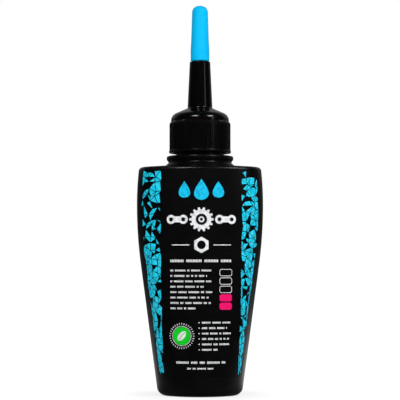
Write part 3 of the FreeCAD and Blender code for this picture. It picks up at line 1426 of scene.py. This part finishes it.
@dataclass(frozen=True)
class ChainPrint:
    """A toothed wheel with a chain link on each side."""

    height: float = 62.6 * MM
    teeth: int = 14
    steps_per_tooth: int = 12
    wheel: float = 4.3 * MM
    wheel_hole: float = 2.0 * MM
    tooth: float = 0.85 * MM
    tooth_share: float = 0.5
    tooth_flank: float = 1.3
    hub: float = 1.05 * MM
    hub_hole: float = 0.525 * MM
    link_middle: float = 8.6 * MM
    link_pitch: float = 4.4 * MM
    link_end: float = 1.6 * MM
    link_waist: float = 1.05 * MM
    link_spans: int = 40
    pin: float = 0.72 * MM
    pin_segments: int = 24

    def toothed(self, bearing: float) -> float:
        """Return the reach of the wheel's edge at a bearing."""
        crest = min(max(self.tooth_share + self.tooth_flank * math.cos(self.teeth * bearing), 0.0), 1.0)
        return self.wheel - self.tooth * (1 - crest)

    def link_half(self, across: float) -> float:
        """Find half the height of a link.

        Args:
            across: Distance from the link's middle.

        Returns:
            Half the height there.
        """
        past = abs(across) - self.link_pitch / 2
        bulge = math.sqrt(max(self.link_end ** 2 - past ** 2, 0.0))
        return bulge if past > 0 else max(bulge, self.link_waist)

    def stamp(self, press: Press) -> None:
        """Print the wheel, the links and their dark pins.

        Args:
            press: The press.
        """
        wheel = disc(self.toothed, self.wheel_hole, self.teeth * self.steps_per_tooth)
        press.stamp(Inks.WHITE, wheel, 0.0, self.height)
        press.stamp(Inks.WHITE, disc(self.hub, self.hub_hole), 0.0, self.height)
        length = self.link_pitch + 2 * self.link_end
        for centre in (-self.link_middle, self.link_middle):
            link = band(length, lambda across: -self.link_half(across), self.link_half, self.link_spans)
            press.stamp(Inks.WHITE, link, centre, self.height)
            for end in (-self.link_pitch / 2, self.link_pitch / 2):
                pin = disc(self.pin, segments=self.pin_segments)
                press.stamp(Inks.PINS, pin, centre + end, self.height)


@dataclass(frozen=True)
class TickRow:
    """A row of even ticks in groups, a plain pattern: its height, its two ends and the size of a tick.

    The width of a tick, its corner and the gaps are shares of the size.
    """

    height: float
    left: float
    right: float
    size: float = 0.66 * MM
    group: tuple[int, int] = (2, 10)
    group_gap: float = 0.9
    tick_width: float = 0.42
    tick_gap: float = 0.16
    corner: float = 0.126
    corner_steps: int = 2

    def stamp(self, press: Press) -> None:
        """Print the row.

        Args:
            press: The press.
        """
        width = self.size * self.tick_width
        spot = self.left
        left_in_group = press.dice.randint(*self.group)
        while spot + width < self.right:
            tick = panel(width, self.size, self.size * self.corner, self.corner_steps)
            press.stamp(Inks.WHITE, tick, spot + width / 2, self.height)
            spot += width + self.size * self.tick_gap
            left_in_group -= 1
            if left_in_group == 0:
                left_in_group = press.dice.randint(*self.group)
                spot += self.size * self.group_gap


@dataclass(frozen=True)
class TickBlock:
    """Rows of ticks under each other, with a round point before each row if the block has points.

    The right ends of the rows are in millimetres.
    """

    top: float
    left: float
    rights: tuple[float, ...]
    point: float = 0.0
    point_set_out: float = 1.0 * MM
    point_segments: int = 12
    pitch: float = 1.9 * MM

    def stamp(self, press: Press) -> None:
        """Print the block.

        Args:
            press: The press.
        """
        for row, right in enumerate(self.rights):
            height = self.top - row * self.pitch
            TickRow(height, self.left, right * MM).stamp(press)
            if self.point:
                point = disc(self.point, segments=self.point_segments)
                press.stamp(Inks.WHITE, point, self.left - self.point_set_out, height)


@dataclass(frozen=True)
class Gauge:
    """An upright row of rounded cells, the lowest ones filled in pink."""

    across: float = 8.7 * MM
    height: float = 37.95 * MM
    cells: int = 5
    filled: int = 2
    cell_width: float = 4.6 * MM
    cell_height: float = 2.5 * MM
    gap: float = 0.45 * MM
    corner: float = 0.8 * MM
    line: float = 0.2 * MM

    def stamp(self, press: Press) -> None:
        """Print the cells.

        Args:
            press: The press.
        """
        for cell in range(self.cells):
            height = self.height + (cell - (self.cells - 1) / 2) * (self.cell_height + self.gap)
            shape = panel(self.cell_width, self.cell_height, self.corner)
            if cell < self.filled:
                press.stamp(Inks.PINK, shape, self.across, height)
            else:
                press.stamp(Inks.WHITE, outlined(shape, self.line), self.across, height)


@dataclass(frozen=True)
class LeafDisc:
    """A green disc with a light rim, a leaf in two halves, and a ring of ticks round it."""

    across: float = -7.0 * MM
    height: float = 21.6 * MM
    radius: float = 3.15 * MM
    rim: float = 3.5 * MM
    rim_line: float = 0.16 * MM
    leaf_length: float = 4.4 * MM
    leaf_half_width: float = 1.05 * MM
    leaf_gap: float = 0.22 * MM
    leaf_turn: float = math.radians(48.0)
    leaf_spans: int = 16
    ticks: int = 32
    tick_reach: float = 4.3 * MM
    tick: tuple[float, float] = (0.22 * MM, 0.6 * MM)
    tick_corner: float = 0.06 * MM
    tick_steps: int = 2

    def leaf_edge(self, across: float) -> float:
        """Return the height of the leaf's outer edge along its length."""
        return self.leaf_gap / 2 + self.leaf_half_width * (1 - (2 * across / self.leaf_length) ** 2)

    def stamp(self, press: Press) -> None:
        """Print the disc, its rim, the leaf over it and the ticks.

        Args:
            press: The press.
        """
        press.stamp(Inks.GREEN, disc(self.radius), self.across, self.height)
        press.stamp(Inks.WHITE, disc(self.rim, self.rim - self.rim_line), self.across, self.height)
        for half_turn in (0.0, math.pi):
            half = band(self.leaf_length, lambda across: self.leaf_gap / 2, self.leaf_edge, self.leaf_spans)
            press.stamp(Inks.LEAF, half, self.across, self.height, self.leaf_turn + half_turn)
        for turn in even_bearings(self.ticks):
            across = self.across + self.tick_reach * math.sin(turn)
            height = self.height + self.tick_reach * math.cos(turn)
            tick = panel(*self.tick, self.tick_corner, self.tick_steps)
            press.stamp(Inks.WHITE, tick, across, height, -turn)


@dataclass(frozen=True)
class ShardStrips:
    """A strip of shards along each side of the film, which thins out upwards."""

    form: OvalForm = OvalForm()
    inner: float = 14.3 * MM
    margin: float = 1.3 * MM
    foot: float = 8.3 * MM
    height: float = 71.3 * MM
    width: float = 7.0 * MM
    columns: int = 4
    rows: int = 34
    shift: float = 0.42
    gap: float = 0.2 * MM
    split: float = 0.75
    loss: Limits = (0.2, 0.4)
    seed: int = 11

    def shards(self, dice: random.Random) -> Mesh:
        """Break a flat strip into shards.

        Args:
            dice: Source of the uneven breaks.

        Returns:
            The shards of one strip, from its inner lower corner.
        """
        mesh = bmesh.new()
        bmesh.ops.create_grid(mesh, x_segments=self.columns, y_segments=self.rows, size=0.5)
        bmesh.ops.translate(mesh, verts=mesh.verts, vec=(0.5, 0.5, 0))
        bmesh.ops.scale(mesh, verts=mesh.verts, vec=(self.width, self.height, 1))
        cell = (self.width / self.columns, self.height / self.rows, 0)
        for vert in mesh.verts:
            shift = Vector([dice.uniform(-1, 1) * size for size in cell]) * self.shift
            if vert.is_boundary:
                shift.x = math.copysign(shift.x, self.width / 2 - vert.co.x)
            vert.co += shift
        bmesh.ops.triangulate(mesh, faces=[face for face in mesh.faces if dice.random() < self.split])
        foot_loss, top_loss = self.loss
        lost = []
        for face in mesh.faces:
            climb = face.calc_center_median().y / self.height
            if dice.random() < foot_loss + (top_loss - foot_loss) * climb:
                lost.append(face)
        bmesh.ops.delete(mesh, geom=lost, context="FACES")
        gaps = bmesh.ops.inset_individual(mesh, faces=mesh.faces[:], thickness=self.gap)["faces"]
        bmesh.ops.delete(mesh, geom=gaps, context="FACES")
        return mesh

    def stamp(self, press: Press) -> None:
        """Print the left strip and then the right one.

        Args:
            press: The press.
        """
        dice = random.Random(self.seed)
        for side in (-1, 1):
            mesh = self.shards(dice)
            for vert in mesh.verts:
                height = self.foot + vert.co.y
                outer = self.form.edge(height, FILM_MARGIN) - self.margin
                inner = min(self.inner + side * press.middle, outer)
                vert.co = Vector((side * (inner + vert.co.x / self.width * (outer - inner)), height, 0))
            join(press.sheets[Inks.STRIPS], mesh)


@dataclass
class FrontFilm(SubAssembly):
    """The film on the front and the inks on it, laid out flat and then wrapped round the bottle."""

    form: OvalForm = OvalForm()
    foot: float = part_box("front_label")[0].z
    top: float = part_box("front_label")[1].z
    corner: float = 2.0 * MM
    bond: float = 0.03 * MM
    thickness: float = 0.07 * MM
    ink_gap: float = 0.006 * MM
    ink_thickness: float = 0.012 * MM
    slice_gap: float = 0.8 * MM
    sliver: float = 0.004 * MM
    middle: float = 0.5 * MM
    tick_seed: int = 11
    motifs: tuple[Motif, ...] = (
        NutPrint(),
        DropPrint(),
        ChainPrint(),
        TickRow(48.0 * MM, -11.1 * MM, 11.0 * MM, 0.95 * MM),
        TickRow(12.3 * MM, -9.0 * MM, 9.0 * MM, 0.8 * MM),
        TickRow(10.2 * MM, -5.0 * MM, 5.0 * MM, 0.6 * MM),
        TickBlock(44.6 * MM, -11.1 * MM, (3.6, 2.2, 4.2, 0.9, 3.9, 2.8, 4.2, -2.0)),
        TickBlock(26.3 * MM, 0.2 * MM, (11.0, 9.3, 11.2, 10.1, 10.8, 6.0), 0.22 * MM),
        Gauge(),
        LeafDisc(),
        ShardStrips(),
    )

    def sliced(self, mesh: Mesh) -> None:
        """Cut a flat mesh into slices that are narrow enough to bend.

        Args:
            mesh: The flat mesh.
        """
        for axis in (0, 1):
            reach = [vert.co[axis] for vert in mesh.verts]
            normal = Vector((1 - axis, axis, 0))
            cuts = math.ceil((max(reach) - min(reach)) / self.slice_gap)
            for cut in range(1, cuts):
                spot = normal * (min(reach) + (max(reach) - min(reach)) * cut / cuts)
                geom = [*mesh.verts, *mesh.edges, *mesh.faces]
                bmesh.ops.bisect_plane(mesh, geom=geom, dist=self.sliver, plane_co=spot, plane_no=normal)
        bmesh.ops.remove_doubles(mesh, verts=mesh.verts, dist=self.sliver)

    def wrapped(self, mesh: Mesh, thickness: float, lift: float) -> Mesh:
        """Give a flat mesh its thickness and lay it on the bottle.

        Args:
            mesh: Flat faces, with X round the front and Y up.
            thickness: Thickness to give them.
            lift: Distance of their underside off the bottle.

        Returns:
            The same mesh, wrapped.
        """
        for face in mesh.faces:
            if face.normal.z > 0:
                face.normal_flip()
        grown = bmesh.ops.extrude_face_region(mesh, geom=mesh.faces[:])["geom"]
        fresh = [part for part in grown if isinstance(part, bmesh.types.BMVert)]
        bmesh.ops.translate(mesh, verts=fresh, vec=(0, 0, thickness))
        for vert in mesh.verts:
            vert.co = self.form.front(vert.co.x, vert.co.y, lift + vert.co.z)
        bmesh.ops.recalc_face_normals(mesh, faces=mesh.faces)
        return mesh

    def lay_film(self) -> None:
        """Lay the bare film, cut to the outline of the bottle less a margin."""
        half = self.form.edge(self.form.belly_height, FILM_MARGIN)
        mesh = panel(2 * half, self.top - self.foot, self.corner)
        bmesh.ops.translate(mesh, verts=mesh.verts, vec=(0, (self.foot + self.top) / 2, 0))
        self.sliced(mesh)
        for vert in mesh.verts:
            vert.co.x *= self.form.edge(vert.co.y, FILM_MARGIN) / half
        self.publish(self.wrapped(mesh, self.thickness, self.bond), "front_film", BLACK_FILM, "front_label")

    def build(self) -> None:
        """Build and dress the film and the inks of its print."""
        self.lay_film()
        press = Press(self.middle, random.Random(self.tick_seed))
        for motif in self.motifs:
            motif.stamp(press)
        for ink, mesh in press.sheets.items():
            plate = ink.value
            under = plate.layer * (self.ink_thickness + self.ink_gap)
            lift = self.bond + self.thickness + self.ink_gap + under
            self.sliced(mesh)
            self.publish(self.wrapped(mesh, self.ink_thickness, lift), plate.piece, plate.finish)


@dataclass(frozen=True)
class Lamp:
    """A soft box: where it stands, how large and how strong it is, and whether gloss shows it."""

    name: str
    place: tuple[float, float, float]
    aim: tuple[float, float, float]
    size: tuple[float, float]
    power: float
    in_gloss: bool = True


@dataclass
class Studio:
    """Camera, lamps, floor and surroundings."""

    camera_place: tuple[float, float, float] = (0.0, -560.0 * MM, 44.0 * MM)
    camera_aim: tuple[float, float, float] = (0.0, 0.0, 70.0 * MM)
    view_width: float = 144.0 * MM
    sensor: float = 36.0
    floor_radius: float = 4.0
    floor_segments: int = 96
    floor_gap: float = 0.02 * MM
    floor: Finish = PaleFloor("pale_floor")
    room_level: float = 0.25
    backdrop_level: float = 0.32
    backdrop_rises: tuple[Limits, Limits] = ((0.04, 0.3), (-0.08, 0.35))
    backdrop_depth: Limits = (0.2, 0.7)
    lamps: tuple[Lamp, ...] = (
        Lamp("front_fill", (0.2, -1.13, 0.4), (0, 0, 0.07), (1.2, 1.2), 6.4, False),
        Lamp("soft_box_left", (-0.253, -0.649, 0.667), (0, 0, 0.1), (0.26, 0.18), 1.9),
        Lamp("soft_box_right", (0.532, -0.483, 0.641), (0, 0, 0.1), (0.26, 0.18), 2.2),
        Lamp("strip_right", (0.788, -0.616, 0.3), (0, 0, 0.115), (0.09, 0.18), 0.1),
    )

    @staticmethod
    def aimed(thing: bpy.types.Object, place: Sequence[float], aim: Sequence[float]) -> None:
        """Stand a camera or a lamp at a place and turn it to its aim."""
        thing.location = place
        thing.rotation_euler = (Vector(aim) - thing.location).to_track_quat("-Z", "Y").to_euler()

    def set_camera(self) -> None:
        """Place the camera in front, almost level, a little below the middle of the bottle."""
        data = bpy.data.cameras.new("camera")
        data.sensor_width = self.sensor
        data.lens = self.sensor * -self.camera_place[1] / self.view_width
        bpy.context.scene.camera = linked("camera", data)
        self.aimed(bpy.context.scene.camera, self.camera_place, self.camera_aim)

    def hang_lamps(self) -> None:
        """Place the soft boxes."""
        for lamp in self.lamps:
            data = bpy.data.lights.new(lamp.name, "AREA")
            data.shape = "RECTANGLE"
            data.size, data.size_y = lamp.size
            data.energy = lamp.power
            hung = linked(lamp.name, data)
            hung.visible_glossy = lamp.in_gloss
            self.aimed(hung, lamp.place, lamp.aim)

    def lay_floor(self) -> None:
        """Lay a pale floor just under the bottle."""
        mesh = bmesh.new()
        bmesh.ops.create_circle(mesh, cap_ends=True, segments=self.floor_segments, radius=self.floor_radius)
        bmesh.ops.translate(mesh, verts=mesh.verts, vec=(0, 0, -self.floor_gap))
        dressed(mesh, "floor", self.floor)

    def set_room(self) -> None:
        """Surround the bottle with a dim room that the camera sees as white and gloss as a dark studio."""
        world = bpy.data.worlds.new("studio")
        bpy.context.scene.world = world
        sheet = Sheet(world, "Generated")
        up = sheet.axis("Z")
        raised = sheet.by_side(*[up.step(*rise) for rise in self.backdrop_rises])
        mirrored = GLOSS_DARK + raised * sheet.axis("Y").step(*self.backdrop_depth) * self.backdrop_level
        seen = sheet.ray("Is Camera Ray") * (1.0 - self.room_level)
        level = self.room_level + seen + sheet.ray("Is Glossy Ray") * (mirrored - self.room_level)
        sky = sheet.node("ShaderNodeBackground", None, {"Color": level})
        sheet.node("ShaderNodeOutputWorld", None, {"Surface": sky})

    def build(self) -> None:
        """Set up the studio."""
        bpy.context.scene.view_settings.view_transform = "Standard"
        self.set_camera()
        self.hang_lamps()
        self.lay_floor()
        self.set_room()


def dress_washer() -> None:
    """Give the sealing washer, which keeps its own solid, its foam finish."""
    foam = CellFoam("pale_foam", 0.8, Tint.FOAM, Tint.FOAM_CREASE_SHADE)
    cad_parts["sealing_washer"].material_slots[0].material = foam.material()
    LOG.info("sealing_washer: dressed")


def main() -> None:
    """Build every sub-assembly in order, then the studio."""
    logging.basicConfig(level=logging.INFO, format="%(name)s: %(message)s")
    Bottle(Body.BOTTLE, "bottle_plastic").build()
    FrontFilm(Body.BOTTLE, "label_film").build()
    dress_washer()
    Closure(Body.CLOSURE, "closure_plastic").build()
    TipCap(Body.TIP, "tip_plastic").build()
    Studio().build()


if __name__ == "__main__":
    main()
